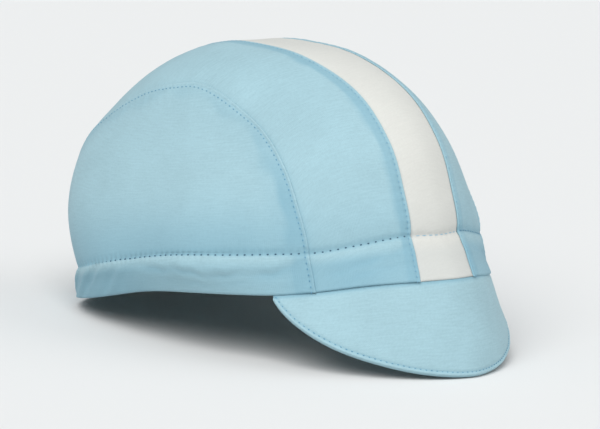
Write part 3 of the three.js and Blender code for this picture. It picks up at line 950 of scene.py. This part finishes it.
def stitch_rows(name, rows, material, pitch, length, width, height, sink, wander, seed):
    """Stitches along the rows, as one plain mesh. Sizes are in metres."""
    tree = bpy.data.node_groups.get("cap_stitch_rows") or stitch_tree()
    holder = line_mesh(name + "_lines", rows)
    modifier = holder.modifiers.new("stitches", "NODES")
    modifier.node_group = tree
    values = {"Pitch": pitch, "Length": length, "Width": width, "Height": height, "Sink": sink,
              "Wander": wander, "Seed": seed, "Material": material}
    for item in tree.interface.items_tree:
        if item.item_type == "SOCKET" and item.in_out == "INPUT" and item.name in values:
            modifier[item.identifier] = values[item.name]
    graph = bpy.context.evaluated_depsgraph_get()
    mesh = bpy.data.meshes.new_from_object(holder.evaluated_get(graph), preserve_all_data_layers=True,
                                           depsgraph=graph)
    mesh.name = name
    holder.modifiers.remove(modifier)
    bpy.data.objects.remove(holder)
    return placed(name, mesh)


def join_pieces(name, parts):
    """One object from several meshes, each with its own material."""
    bpy.ops.object.select_all(action="DESELECT")
    for part in parts:
        part.select_set(True)
    bpy.context.view_layer.objects.active = parts[0]
    bpy.ops.object.join()
    parts[0].name = name
    parts[0].data.name = name
    return parts[0]


# Materials

# How much of the knit's height is even loops, and the rest uneven yarn
LOOP_SHARE = 0.35
BLUE_FLECK, WHITE_FLECK = 0.83, 0.92
# The white's colour in painted shade, as a share of its own colour in each channel
WHITE_IN_PAINTED_SHADE = (0.66, 0.71, 0.76)
# How far the painted shade darkens the cloth towards its shade colour
PAINTED_SHADE_STRENGTH = 0.62
# Noise scales, per metre: thick places in the yarn, its fibres, and soft clouds of colour
SLUB_SCALE, GRAIN_SCALE, CLOUD_SCALE, FIBRE_SCALE = 1300.0, 900.0, 45.0, 4000.0
SLUB_STRETCH = (0.10, 1.0, 1.0)


def new_group(name, inputs, outputs):
    group = bpy.data.node_groups.new(name, "ShaderNodeTree")
    for label, kind, default in inputs:
        add_socket(group, label, kind, default)
    for label, kind in outputs:
        add_socket(group, label, kind, in_out="OUTPUT")
    return group, add_node(group, "NodeGroupInput").outputs


def noise(tree, vector, scale, detail=2.0, roughness=0.5):
    node = add_node(tree, "ShaderNodeTexNoise",
                    {"Vector": vector, "Scale": scale, "Detail": detail, "Roughness": roughness})
    return node.outputs["Fac"]


def blend(tree, amount, first, second):
    """A colour between two."""
    return add_node(tree, "ShaderNodeMix", {0: amount, 6: first, 7: second}, data_type="RGBA").outputs[2]


def jersey_knit_group():
    """Fine knitted loops with uneven yarn: a height for bump and a fleck for colour, both about 0 to 1."""
    group, given = new_group(
        "jersey_knit",
        [("Vector", "Vector", (0, 0, 0)), ("Loops per Metre", "Float", 1500.0),
         ("Loop Share", "Float", LOOP_SHARE)],
        [("Height", "Float"), ("Fleck", "Float")])
    vector = given["Vector"]
    split = add_node(group, "ShaderNodeSeparateXYZ", {0: vector}).outputs
    turns = maths(group, "MULTIPLY", given["Loops per Metre"], 2 * math.pi)
    rib = maths(group, "SINE", maths(group, "MULTIPLY", split["X"], turns))
    up = maths(group, "MULTIPLY", split["Y"], turns)
    lean = maths(group, "MULTIPLY", rib, 1.4)
    loop = maths(group, "SINE", maths(group, "ADD", maths(group, "MULTIPLY", up, 1.25), lean))
    loops = maths(group, "MULTIPLY_ADD", loop, 0.25, maths(group, "MULTIPLY_ADD", rib, 0.25, 0.5))
    drawn_out = add_node(group, "ShaderNodeMapping", {"Vector": vector, "Scale": SLUB_STRETCH})
    slub = noise(group, drawn_out.outputs[0], SLUB_SCALE, 3.0, 0.6)
    grain = noise(group, vector, GRAIN_SCALE, 4.0, 0.65)
    yarn = maths(group, "MULTIPLY_ADD", slub, 0.5, maths(group, "MULTIPLY", grain, 0.5))
    height = add_node(group, "ShaderNodeMix", {0: given["Loop Share"], 2: yarn, 3: loops}).outputs[0]
    add_node(group, "NodeGroupOutput", {"Height": height, "Fleck": yarn})
    return group


def painted_shade_group():
    """Darkens and cools a colour by the mesh's painted shade: at seams, stitch grooves and edges, in the hem
    and its folds, and towards the bottom of the crown.
    """
    group, given = new_group(
        "painted_shade",
        [("Color", "Color", (1, 1, 1, 1)), ("Shade", "Color", (0.5, 0.6, 0.7, 1)),
         ("Strength", "Float", PAINTED_SHADE_STRENGTH)],
        [("Color", "Color")])
    mask = add_node(group, "ShaderNodeAttribute", attribute_name="painted_shade").outputs["Fac"]
    amount = maths(group, "MULTIPLY", mask, given["Strength"])
    add_node(group, "NodeGroupOutput", {"Color": blend(group, amount, given["Color"], given["Shade"])})
    return group


def group_node(tree, name, make, inputs):
    """A node for a shared group, which is made the first time."""
    group = bpy.data.node_groups.get(name) or make()
    return add_node(tree, "ShaderNodeGroup", inputs, node_tree=group)


def new_material(name, roughness, specular):
    material = bpy.data.materials.new(name)
    material.use_nodes = True
    shader = material.node_tree.nodes["Principled BSDF"]
    shader.inputs["Roughness"].default_value = roughness
    shader.inputs["Specular IOR Level"].default_value = specular
    return material, material.node_tree, shader


def dress(tree, shader, colour, height, strength, distance):
    """Gives a shader its colour and a bump."""
    tree.links.new(colour, shader.inputs["Base Color"])
    bump = add_node(tree, "ShaderNodeBump", {"Height": height, "Strength": strength, "Distance": distance})
    tree.links.new(bump.outputs["Normal"], shader.inputs["Normal"])


def jersey(name, colour, fleck_colour, shade_colour, loop_share):
    """Cotton jersey: flecked colour, painted shade from the mesh at the seams, the hem and its folds, soft
    sheen and a knitted surface.
    """
    material, tree, shader = new_material(name, 0.86, 0.25)
    shader.inputs["Sheen Weight"].default_value = 0.08
    shader.inputs["Sheen Roughness"].default_value = 0.45
    cloth = add_node(tree, "ShaderNodeUVMap", uv_map="cloth").outputs["UV"]
    knit = group_node(tree, "jersey_knit", jersey_knit_group, {"Vector": cloth, "Loop Share": loop_share})
    cloud = noise(tree, add_node(tree, "ShaderNodeTexCoord").outputs["Object"], CLOUD_SCALE)
    blotch = maths(tree, "MULTIPLY_ADD", cloud, 0.35, knit.outputs["Fleck"])
    amount = add_node(tree, "ShaderNodeMapRange", {"Value": blotch, "From Min": 0.50, "From Max": 0.88})
    flecked = blend(tree, amount.outputs["Result"], (*fleck_colour, 1), (*colour, 1))
    shaded = group_node(tree, "painted_shade", painted_shade_group, {"Color": flecked, "Shade": (*shade_colour, 1)})
    dress(tree, shader, shaded.outputs["Color"], knit.outputs["Height"], 0.55, 0.00025)
    return material


def thread(name, colour):
    """Twisted sewing thread."""
    material, tree, shader = new_material(name, 0.6, 0.3)
    fibre = noise(tree, add_node(tree, "ShaderNodeTexCoord").outputs["Object"], FIBRE_SCALE)
    mixed = blend(tree, fibre, (*[0.8 * c for c in colour], 1), (*colour, 1))
    dress(tree, shader, mixed, fibre, 0.4, 0.0001)
    return material


def made_material(name, make, *values):
    return bpy.data.materials.get(name) or make(name, *values)


def cloth_of(name, colour, fleck, shade_colour):
    """Jersey whose flecks are that share of its colour."""
    colour = tuple(colour)
    return made_material(name, jersey, colour, tuple(fleck * c for c in colour), shade_colour, LOOP_SHARE)


def blue_jersey(settings):
    return cloth_of("blue_jersey_cloth", settings.blue, BLUE_FLECK, tuple(settings.blue_painted_shade))


def white_jersey(settings):
    shade_colour = tuple(s * c for s, c in zip(WHITE_IN_PAINTED_SHADE, settings.white))
    return cloth_of("white_jersey_cloth", settings.white, WHITE_FLECK, shade_colour)


# Settings

def colour_setting(name, description, default, highest=1.0):
    return bpy.props.FloatVectorProperty(name=name, description=description, subtype="COLOR",
                                         default=default, min=0, max=highest)


def size_setting(name, description, default):
    return bpy.props.FloatProperty(name=name, description=description, default=default, min=0.0001,
                                   unit="LENGTH")


def plain_setting(name, description, default, highest=1000.0):
    return bpy.props.FloatProperty(name=name, description=description, default=default, min=0, max=highest)


class CapClothSettings(bpy.types.PropertyGroup):
    """Colours of the cloth and the threads, of the painted shade, and of the painted shadow in the needle
    holes.
    """
    blue: colour_setting("Blue cloth", "Colour of the blue jersey", (0.36, 0.545, 0.605))
    # The colour that the painted shade darkens the blue jersey to, at seams, in the hem and its folds, and
    # low on the crown
    blue_painted_shade: colour_setting("Blue in the seams", "Colour of the blue jersey where it turns into a seam",
                               (0.165, 0.345, 0.44))
    white: colour_setting("White cloth", "Colour of the stripe's jersey", (0.65, 0.645, 0.605))
    # Colour of the painted shadow in the needle holes
    needle_shadow: colour_setting("Needle holes", "Colour deep in the stitches' needle holes",
                                (0.045, 0.11, 0.17))
    thread_blue: colour_setting("Thread", "Colour of the sewing thread", (0.29, 0.49, 0.61))
    seam_thread: colour_setting("Seam thread", "Colour of the thread of the seams", (0.13, 0.31, 0.45))
    stripe_thread: colour_setting("Stripe thread", "Colour of the thread beside the stripe",
                                  (0.19, 0.40, 0.54))


class CapStitchSettings(bpy.types.PropertyGroup):
    """Sizes of the stitches."""
    hole_length: size_setting("Needle hole", "Length of the dark spot at each needle hole", 0.00095)
    hem_thread: size_setting("Hem thread", "Thickness of the hem's thread", 0.00044)
    seam_pitch: size_setting("Seam stitch", "From one stitch of the seams to the next", SEAM_PITCH * MM)
    seam_stitch: size_setting("Seam stitch length", "Length of a seam stitch that shows", 0.0009)


class CapStageSettings(bpy.types.PropertyGroup):
    """The floor, the light and the camera."""
    floor_colour: colour_setting("Floor", "Colour of the floor", (0.78, 0.775, 0.765))
    sky: plain_setting("Sky", "Strength of the even light from all round", 0.40)
    sky_colour: colour_setting("Sky colour", "Colour of the even light", (0.93, 1.0, 1.05), 2.0)
    key_strength: plain_setting("Key light", "Strength of the large soft light", 2.68)
    fill_strength: plain_setting("Fill light", "Strength of the weak light from the other side", 0.65)
    key_turn: plain_setting("Key turn", "Degrees from the front towards the wearer's right", 61.0, 360.0)
    key_height: plain_setting("Key height", "Degrees of the light above the floor", 48.0, 90.0)


class CapSettings(bpy.types.PropertyGroup):
    """Everything that a user would change on the cap."""
    cloth: bpy.props.PointerProperty(type=CapClothSettings, name="Cloth")
    stitches: bpy.props.PointerProperty(type=CapStitchSettings, name="Stitches")
    stage: bpy.props.PointerProperty(type=CapStageSettings, name="Stage")


# Operators

def mount(piece, slot, *nodes):
    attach(piece, "root")
    if nodes:
        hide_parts(*nodes)


def mount_pair(make, name, context):
    """Makes a blue piece on each side."""
    material = blue_jersey(context.scene.cap_settings.cloth)
    for side, node in ((RIGHT, name + "_right"), (LEFT, name + "_left")):
        mount(make(side, node + "_cloth", material), "sky_blue_jersey", node)


class CAP_OT_side_panels(bpy.types.Operator):
    """Makes the two blue side panels"""
    bl_idname = "cap.side_panels"
    bl_label = "Side Panels"

    def execute(self, context):
        mount_pair(side_panel, "side_panel", context)
        return {"FINISHED"}


class CAP_OT_crown_strips(bpy.types.Operator):
    """Makes the two blue strips beside the white stripe"""
    bl_idname = "cap.crown_strips"
    bl_label = "Crown Strips"

    def execute(self, context):
        mount_pair(crown_strip, "crown_strip", context)
        return {"FINISHED"}


class CAP_OT_centre_stripe(bpy.types.Operator):
    """Makes the white stripe from front to back"""
    bl_idname = "cap.centre_stripe"
    bl_label = "Centre Stripe"

    def execute(self, context):
        material = white_jersey(context.scene.cap_settings.cloth)
        mount(centre_stripe("centre_stripe_cloth", material), "off_white_jersey", "centre_stripe")
        return {"FINISHED"}


class CAP_OT_peak(bpy.types.Operator):
    """Makes the short soft peak"""
    bl_idname = "cap.peak"
    bl_label = "Peak"

    def execute(self, context):
        material = blue_jersey(context.scene.cap_settings.cloth)
        mount(peak_cloth("peak_cloth", material), "sky_blue_jersey", "peak")
        return {"FINISHED"}


def hem_spans():
    """The hem's stretches with needle holes, over the stripe and on the strip at its far side.

    Each is the relief of its panel and the turns that it runs between.
    """
    ends = np.array([0.0, 180.0])
    front_seam, back_seam = over_head(ends, seam_offset(ends))[0]
    front_edge, back_edge = over_head(ends, stripe_edge(ends))[0]
    right_strip, left_strip = partial(strip_relief, RIGHT), partial(strip_relief, LEFT)
    blue = [(partial(side_relief, RIGHT), -back_seam, -front_seam), (right_strip, -front_seam, -front_edge),
            (right_strip, -back_edge, -back_seam), (partial(side_relief, LEFT), front_seam, back_seam),
            (left_strip, back_seam, back_edge)]
    white = [(stripe_relief, -front_edge, front_edge), (stripe_relief, -180.0, -back_edge),
             (stripe_relief, back_edge, 180.0)]
    return blue, white, (left_strip, front_edge, front_seam)


class CAP_OT_hem_stitching(bpy.types.Operator):
    """Sews the hem: dark beads as painted shadow in the needle holes on the blue cloth, pale dashes over the
    white stripe
    """
    bl_idname = "cap.hem_stitching"
    bl_label = "Hem Stitching"

    def execute(self, context):
        settings = context.scene.cap_settings
        cloth, sizes = settings.cloth, settings.stitches
        thread_blue = made_material("blue_thread", thread, tuple(cloth.thread_blue))
        # dark beads painted as the shadow in the needle holes
        hole_shadow = made_material("needle_hole_blue", thread, tuple(cloth.needle_shadow))
        seam_blue = made_material("seam_thread_blue", thread, tuple(cloth.seam_thread))
        blue, white, far = hem_spans()
        pitch = HEM_PITCH * MM
        hole, width = sizes.hole_length, sizes.hem_thread
        holes = stitch_rows("hem_needle_holes", [hem_row(*span, 1.3) for span in blue], hole_shadow, pitch,
                            length=hole, width=0.75 * hole, height=0.0006, sink=-0.00006,
                            wander=0.00005, seed=3)
        dashes = stitch_rows("hem_dashes", [hem_row(*span, 0.4) for span in white], thread_blue, pitch,
                             length=0.0027, width=0.9 * width, height=width, sink=-0.00010,
                             wander=0.00002, seed=4)
        # on the strip at the wearer's left of the front the thread shows in place of the holes
        far_dashes = stitch_rows("hem_far_dashes", [hem_row(*far, 0.6)], seam_blue, pitch, length=0.0021,
                                 width=width, height=width, sink=-0.0003, wander=0.00002, seed=8)
        mount(join_pieces("hem_stitching", [holes, dashes, far_dashes]), "sky_blue_jersey")
        return {"FINISHED"}


class CAP_OT_seam_stitching(bpy.types.Operator):
    """Sews the side seams, the stripe's edges and the peak's edge"""
    bl_idname = "cap.seam_stitching"
    bl_label = "Seam Stitching"

    def execute(self, context):
        settings = context.scene.cap_settings
        sizes = settings.stitches
        seam_blue = made_material("seam_thread_blue", thread, tuple(settings.cloth.seam_thread))
        stripe_blue = made_material("stripe_thread_blue", thread, tuple(settings.cloth.stripe_thread))
        sides = [seam_row(partial(side_relief, side), side, lambda a: seam_offset(a) + TOPSTITCH_IN,
                          -SEAM_LEAN_IN_HEM) for side in (RIGHT, LEFT)]
        edges = [seam_row(partial(strip_relief, side), side, lambda a: stripe_edge(a) + TOPSTITCH_IN,
                          STRIPE_FLARE_IN_HEM) for side in (RIGHT, LEFT)]
        for name, rows, material, width, seed in (
                ("side_seam_stitching", sides, seam_blue, 0.0005, 5),
                ("stripe_stitching", edges, stripe_blue, 0.00036, 6),
                ("peak_stitching", [peak_row(PEAK_STITCH_IN)], seam_blue, 0.0005, 7)):
            mount(stitch_rows(name, rows, material, sizes.seam_pitch, sizes.seam_stitch, width,
                              height=0.0004, sink=-0.00004, wander=0.00006, seed=seed), "sky_blue_jersey")
        return {"FINISHED"}


class CAP_OT_stage(bpy.types.Operator):
    """Sets the pale floor, the soft light and the camera"""
    bl_idname = "cap.stage"
    bl_label = "Stage"

    def execute(self, context):
        settings = context.scene.cap_settings.stage
        lay_floor(tuple(settings.floor_colour))
        light_stage(context.scene, settings)
        place_camera(context.scene)
        return {"FINISHED"}


# Stage

FLOOR_HALF_WIDTH = 6.0
IMAGE_WIDTH, IMAGE_HEIGHT = 600, 429
VIEW_AZIMUTH, VIEW_ELEVATION, VIEW_ROLL = 44.27, 2.4, -4.67
VIEW_CENTRE = (316.06, 282.44)
PIXELS_PER_MM = 2.30
VIEW_DISTANCE = 1500.0
SENSOR_WIDTH = 36.0


def lay_floor(colour):
    mesh = bpy.data.meshes.new("floor")
    w = FLOOR_HALF_WIDTH
    mesh.from_pydata([(-w, -w, 0), (w, -w, 0), (w, w, 0), (-w, w, 0)], [], [(0, 1, 2, 3)])
    material, _, shader = new_material("pale_floor", 0.9, 0.1)
    shader.inputs["Base Color"].default_value = (*colour, 1)
    mesh.materials.append(material)
    placed("floor", mesh)


KEY_SPREAD = 55.0
FILL_TURN, FILL_HEIGHT = -45.0, 28.0


def soft_light(name, turn, height, strength):
    """A very wide light from far away, so that the floor is lit evenly."""
    data = bpy.data.lights.new(name, "SUN")
    data.angle = math.radians(KEY_SPREAD)
    data.energy = strength
    lamp = placed(name, data)
    turn, height = math.radians(turn), math.radians(height)
    place = Vector((-math.sin(turn) * math.cos(height), -math.cos(turn) * math.cos(height), math.sin(height)))
    lamp.location = place
    lamp.rotation_euler = (-place).to_track_quat("-Z", "Y").to_euler()


def light_stage(scene, settings):
    world = bpy.data.worlds.new("studio")
    world.use_nodes = True
    sky = world.node_tree.nodes["Background"]
    sky.inputs["Color"].default_value = (*settings.sky_colour, 1)
    sky.inputs["Strength"].default_value = settings.sky
    scene.world = world
    scene.view_settings.view_transform = "Standard"
    soft_light("key", settings.key_turn, settings.key_height, settings.key_strength)
    soft_light("fill", FILL_TURN, FILL_HEIGHT, settings.fill_strength)


def view_axes():
    """The photograph's view: towards the camera, to the right and up, in the row frame."""
    azimuth, elevation, roll = (math.radians(a) for a in (VIEW_AZIMUTH, VIEW_ELEVATION, VIEW_ROLL))
    back = np.array([math.sin(azimuth) * math.cos(elevation), -math.cos(azimuth) * math.cos(elevation),
                     math.sin(elevation)])
    level_right = np.array([math.cos(azimuth), math.sin(azimuth), 0.0])
    level_up = np.cross(back, level_right)
    right = math.cos(roll) * level_right + math.sin(roll) * level_up
    up = -math.sin(roll) * level_right + math.cos(roll) * level_up
    # the fit counts forward, left and up; the cap's own frame has its front along -Y
    return [turn_to_row_frame(np.array([v[1], -v[0], v[2]])) for v in (back, right, up)]


def place_camera(scene):
    back, right, up = view_axes()
    place = to_row_frame(np.zeros(3)) + back * VIEW_DISTANCE * MM
    focal = PIXELS_PER_MM * VIEW_DISTANCE
    aim = (-back * focal + right * (IMAGE_WIDTH / 2 - VIEW_CENTRE[0])
           + up * (VIEW_CENTRE[1] - IMAGE_HEIGHT / 2))
    aim = Vector(aim).normalized()
    side = aim.cross(Vector(up)).normalized()
    head = side.cross(aim)
    data = bpy.data.cameras.new("camera")
    data.sensor_fit = "HORIZONTAL"
    data.sensor_width = SENSOR_WIDTH
    data.lens = focal / IMAGE_WIDTH * SENSOR_WIDTH
    data.clip_start, data.clip_end = 0.05, 30.0
    camera = placed("camera", data)
    turned = Matrix((side, head, -aim)).transposed().to_4x4()
    camera.matrix_world = Matrix.Translation(Vector(place)) @ turned
    scene.camera = camera


# The sidebar and the run

class CAP_PT_sidebar(bpy.types.Panel):
    """The cap's steps and settings"""
    bl_idname = "CAP_PT_sidebar"
    bl_label = "Three Panel Cap"
    bl_space_type = "VIEW_3D"
    bl_region_type = "UI"
    bl_category = "Cap"

    def draw(self, context):
        layout = self.layout
        for operator in OPERATORS:
            layout.operator(operator.bl_idname)
        for group in ("cloth", "stitches", "stage"):
            box = layout.box()
            settings = getattr(context.scene.cap_settings, group)
            for name in settings.__annotations__:
                box.prop(settings, name)


OPERATORS = (CAP_OT_stage, CAP_OT_side_panels, CAP_OT_crown_strips, CAP_OT_centre_stripe, CAP_OT_peak,
             CAP_OT_hem_stitching, CAP_OT_seam_stitching)
CLASSES = (CapClothSettings, CapStitchSettings, CapStageSettings, CapSettings, *OPERATORS, CAP_PT_sidebar)


def register():
    for cls in CLASSES:
        bpy.utils.register_class(cls)
    bpy.types.Scene.cap_settings = bpy.props.PointerProperty(type=CapSettings)


def unregister():
    del bpy.types.Scene.cap_settings
    for cls in reversed(CLASSES):
        bpy.utils.unregister_class(cls)


def main():
    register()
    bpy.ops.cap.stage()
    bpy.ops.cap.side_panels()
    bpy.ops.cap.crown_strips()
    bpy.ops.cap.centre_stripe()
    bpy.ops.cap.peak()
    bpy.ops.cap.hem_stitching()
    bpy.ops.cap.seam_stitching()


if __name__ == "__main__":
    main()
